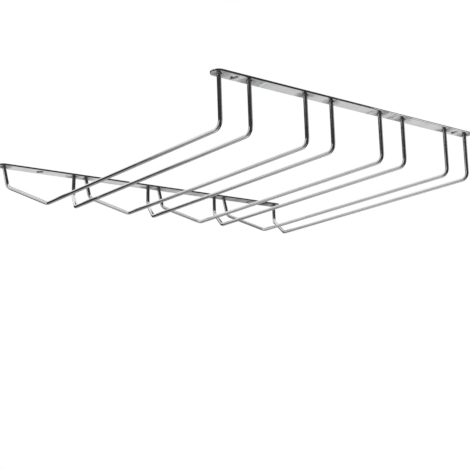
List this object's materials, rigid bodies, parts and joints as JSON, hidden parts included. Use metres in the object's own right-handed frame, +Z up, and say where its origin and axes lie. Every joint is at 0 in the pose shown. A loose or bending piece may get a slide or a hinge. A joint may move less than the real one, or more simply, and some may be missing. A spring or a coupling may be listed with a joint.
{
  "type": "hanging wine glass rack",
  "caption": "Chromed wire rack that screws up under a shelf and holds stemmed glasses upside down by their feet, in flared channels between pairs of bent wire rails.",
  "frame": {"origin": "centre of the four screw holes, in the mounting plane on top of the two strips", "axes": "+X along the strips, +Y along the rails from the back strip to the front strip where the glasses go in, +Z up out of the mounting plane"},
  "size_m": [0.42, 0.35, 0.0525],
  "materials": {
    "strip_chrome": "polished chrome plate on flat steel bar",
    "wire_chrome": "polished chrome plate on steel wire"
  },
  "bodies": {
    "root": {"back_mounting_strip": "strip_chrome", "front_mounting_strip": "strip_chrome", "channel_1_left_rail": "wire_chrome", "channel_1_right_rail": "wire_chrome", "channel_2_left_rail": "wire_chrome", "channel_2_right_rail": "wire_chrome", "channel_3_left_rail": "wire_chrome", "channel_3_right_rail": "wire_chrome", "channel_4_left_rail": "wire_chrome", "channel_4_right_rail": "wire_chrome"}
  },
  "joints": []
}
